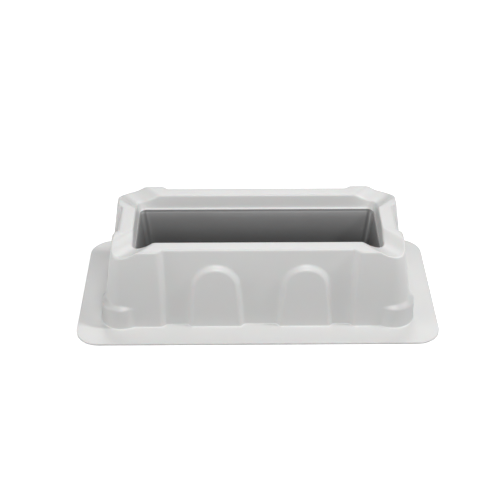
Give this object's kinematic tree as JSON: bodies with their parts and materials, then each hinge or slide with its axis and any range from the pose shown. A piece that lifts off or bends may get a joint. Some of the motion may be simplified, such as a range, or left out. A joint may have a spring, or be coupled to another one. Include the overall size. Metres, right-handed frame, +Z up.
{
  "type": "reagent reservoir",
  "caption": "Vacuum-formed white plastic reagent reservoir: V-shaped trough in a raised body with corner pouring spouts, arched long walls and a flat rounded flange.",
  "frame": {"origin": "on the surface that the flange rests on, below the middle of the trough", "axes": "+X along the trough, the longest side; +Y across it; +Z up out of the trough"},
  "size_m": [0.113, 0.056, 0.0284],
  "materials": {
    "sheet": "satin white, thermoformed"
  },
  "bodies": {
    "root": {"reservoir": "sheet"}
  },
  "joints": []
}
